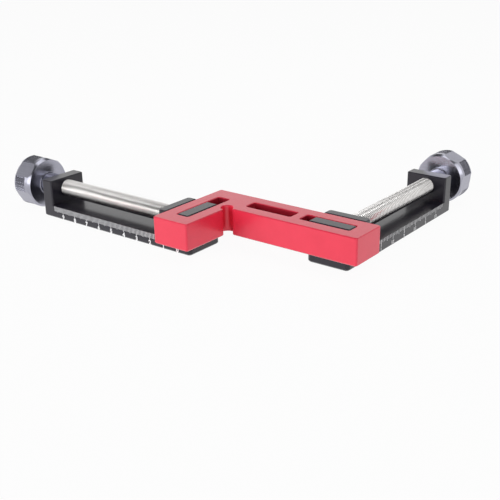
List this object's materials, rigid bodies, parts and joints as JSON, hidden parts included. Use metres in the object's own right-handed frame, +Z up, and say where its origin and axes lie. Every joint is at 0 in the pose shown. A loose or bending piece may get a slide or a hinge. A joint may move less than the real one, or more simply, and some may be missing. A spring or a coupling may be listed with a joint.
{
  "type": "corner clamp",
  "caption": "Corner clamp for frames and boxes: a slotted metal square carries low screw clamps whose jaws press work against its outer faces.",
  "frame": {"origin": "on the ground under the middle of the bounding box of the whole clamp", "axes": "+Z up, +X along the long arm away from the corner, +Y outward past the long arm, where the right clamp reaches"},
  "size_m": [0.2258, 0.1788, 0.0304],
  "materials": {
    "red_anodised": "satin red anodised",
    "black_anodised": "satin black anodised",
    "bright_steel": "bright nickel plated",
    "dark_steel": "black oxide",
    "grey_anodised": "satin grey anodised, knurled lobes",
    "scale_white": "laser engraved lines and figures"
  },
  "bodies": {
    "square": {"corner_square": "red_anodised"},
    "left_frame": {"left_clamp_frame": "black_anodised"},
    "left_jaw": {"left_jaw": "black_anodised", "left_thrust_washer": "bright_steel"},
    "left_screw": {"left_clamp_screw": "bright_steel", "left_jaw_screw": "dark_steel", "left_knob": "grey_anodised", "left_knob_set_screw": "dark_steel"},
    "right_frame": {"right_clamp_frame": "black_anodised"},
    "right_jaw": {"right_jaw": "black_anodised", "right_thrust_washer": "bright_steel"},
    "right_screw": {"right_clamp_screw": "bright_steel", "right_jaw_screw": "dark_steel", "right_knob": "grey_anodised", "right_knob_set_screw": "dark_steel"}
  },
  "joints": [
    {"name": "left_frame_slide", "type": "slide", "parent": "square", "child": "left_frame", "axis": [0, 1, 0], "range_m": [0, 0.0106]},
    {"name": "left_jaw_slide", "type": "slide", "parent": "left_frame", "child": "left_jaw", "axis": [-1, 0, 0], "range_m": [0, 0.084]},
    {"name": "left_screw_turn", "type": "hinge", "parent": "left_jaw", "child": "left_screw", "pos_m": [-0.0401, -0.0674, 0.0153], "axis": [-1, 0, 0], "range_deg": [0, 20161]},
    {"name": "right_frame_slide", "type": "slide", "parent": "square", "child": "right_frame", "axis": [-1, 0, 0], "range_m": [0, 0.0056]},
    {"name": "right_jaw_slide", "type": "slide", "parent": "right_frame", "child": "right_jaw", "axis": [0, 1, 0], "range_m": [0, 0.084]},
    {"name": "right_screw_turn", "type": "hinge", "parent": "right_jaw", "child": "right_screw", "pos_m": [0.0917, 0.0166, 0.0153], "axis": [0, 1, 0], "range_deg": [0, 20161]}
  ],
  "couplings": [
    {"joint": "left_screw_turn", "follows": "left_jaw_slide", "rad_per_m": 4188.8},
    {"joint": "right_screw_turn", "follows": "right_jaw_slide", "rad_per_m": 4188.8}
  ]
}
